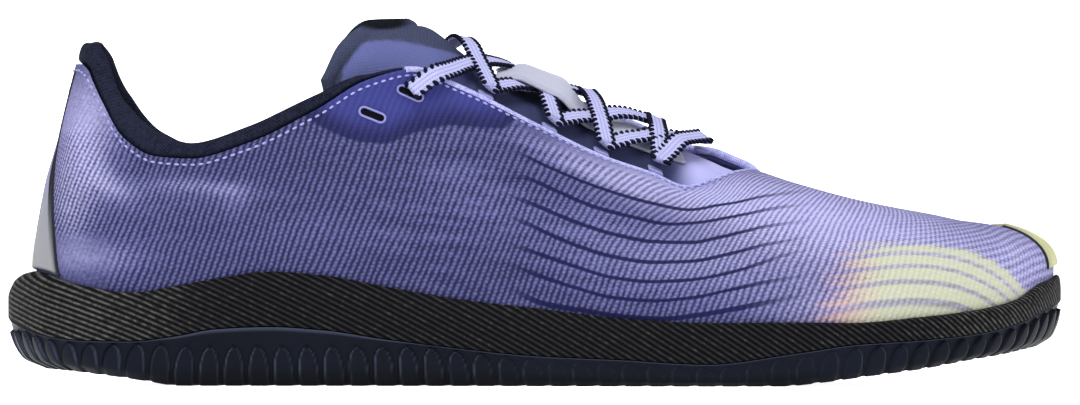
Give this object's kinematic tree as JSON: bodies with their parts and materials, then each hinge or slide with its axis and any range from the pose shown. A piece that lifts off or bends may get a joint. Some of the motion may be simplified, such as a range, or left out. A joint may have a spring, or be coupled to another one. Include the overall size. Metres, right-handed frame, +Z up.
{
  "type": "barefoot training shoe",
  "caption": "Low right barefoot shoe: thin lugged sole, ribbed sidewall, knitted upper, padded collar with a heel tab, saddle tongue and flat criss-cross laces.",
  "frame": {"origin": "on the floor, under the middle of the shoe's length and width", "axes": "+X from heel to toe, +Y to the big toe's side, +Z up from the floor that the shoe stands on"},
  "size_m": [0.2644, 0.1001, 0.0924],
  "materials": {
    "outsole": "satin moulded rubber",
    "sidewall_band": "matt rubber with fine slanting ribs",
    "upper": "two-tone jacquard knit",
    "collar_lining": "padded brushed knit",
    "tongue": "padded knit with a bound edge",
    "insole": "brushed cloth on thin foam",
    "heel_panel": "grey film with fine lines",
    "toe_bumper": "printed film",
    "lace_keeper": "silver-grey satin film",
    "laces": "flat woven lace with dark edges",
    "lace_loop": "narrow webbing"
  },
  "bodies": {
    "root": {"outsole": "outsole", "sidewall_band": "sidewall_band", "upper": "upper", "collar_lining": "collar_lining", "tongue": "tongue", "insole": "insole", "heel_panel": "heel_panel", "toe_bumper": "toe_bumper", "lace_keeper": "lace_keeper", "laces": "laces", "lace_loop_lateral_1": "lace_loop", "lace_loop_lateral_2": "lace_loop", "lace_loop_lateral_3": "lace_loop", "lace_loop_lateral_4": "lace_loop", "lace_loop_medial_1": "lace_loop", "lace_loop_medial_2": "lace_loop", "lace_loop_medial_3": "lace_loop", "lace_loop_medial_4": "lace_loop"}
  },
  "joints": []
}
